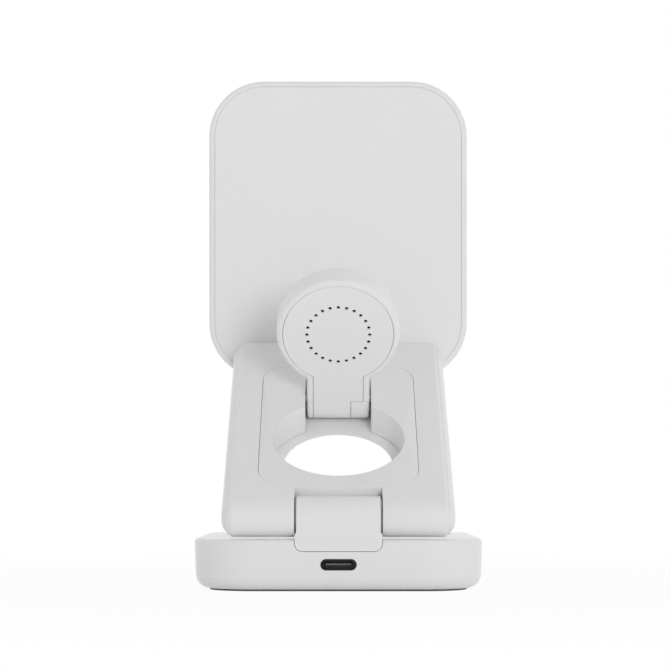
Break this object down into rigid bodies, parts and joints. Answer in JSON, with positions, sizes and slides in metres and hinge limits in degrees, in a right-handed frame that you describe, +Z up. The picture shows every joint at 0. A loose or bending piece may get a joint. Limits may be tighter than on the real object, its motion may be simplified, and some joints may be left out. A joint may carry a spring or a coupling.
{
  "type": "three in one wireless charger",
  "caption": "Folding desktop wireless charger with a phone pad, a watch puck that swings out of the arm, an earbud base and a rear power inlet.",
  "frame": {"origin": "middle of the base's footprint on the table", "axes": "+Z up, +Y towards the side that the phone faces, power inlet at the rear, -Y"},
  "size_m": [0.072, 0.083, 0.1387],
  "materials": {
    "white_abs": "satin moulded ABS and polycarbonate",
    "white_gloss": "polished polycarbonate",
    "silicone_white": "soft-touch silicone",
    "silicone_grey": "matt silicone",
    "circuit_board": "solder-masked glass epoxy",
    "steel": "plain turned steel",
    "nickel": "nickel plated",
    "copper_coil": "enamelled copper wire",
    "ferrite": "matt ferrite sheet",
    "black_nickel": "black nickel plated steel",
    "grey_plastic": "moulded liquid-crystal polymer"
  },
  "bodies": {
    "base": {"base_housing": "white_abs", "base_bottom_plate": "white_abs", "base_foot_pad": "silicone_grey", "base_screws": "steel", "base_circuit_board": "circuit_board", "usb_c_shell": "black_nickel", "usb_c_tongue": "grey_plastic", "earbud_charging_surface": "silicone_white", "earbud_coil": "copper_coil", "earbud_ferrite": "ferrite", "lower_knuckle": "white_abs", "lower_knuckle_screws": "steel", "lower_hinge_pin": "steel"},
    "arm": {"arm_housing": "white_abs", "arm_cover": "white_abs", "arm_inset_panel": "white_abs", "lower_friction_sleeves": "steel", "upper_friction_sleeves": "steel"},
    "watch_puck": {"puck_housing": "white_abs", "puck_back_cover": "white_abs", "watch_charging_dish": "white_gloss", "watch_coil": "copper_coil", "watch_ferrite": "ferrite", "watch_magnet": "nickel", "puck_hinge_pin": "steel"},
    "phone_pad": {"pad_housing": "white_abs", "pad_back_panel": "white_abs", "pad_charging_face": "silicone_white", "phone_magnets": "nickel", "phone_coil": "copper_coil", "phone_ferrite": "ferrite", "pad_circuit_board": "circuit_board", "upper_knuckle": "white_abs", "upper_knuckle_screws": "steel", "upper_hinge_pin": "steel"}
  },
  "joints": [
    {"name": "arm_fold", "type": "hinge", "parent": "base", "child": "arm", "pos_m": [0, -0.0365, 0.0182], "axis": [1, 0, 0], "range_deg": [-35, 0]},
    {"name": "pad_fold", "type": "hinge", "parent": "arm", "child": "phone_pad", "pos_m": [0, 0.0233, 0.06007], "axis": [1, 0, 0], "range_deg": [0, 120.6]},
    {"name": "puck_fold", "type": "hinge", "parent": "arm", "child": "watch_puck", "pos_m": [0, 0.00342, 0.04871], "axis": [1, 0, 0], "range_deg": [0, 90]}
  ],
  "couplings": [
    {"joint": "arm_fold", "follows": "pad_fold", "ratio": -0.2902},
    {"joint": "puck_fold", "follows": "pad_fold", "ratio": 0.7462}
  ]
}
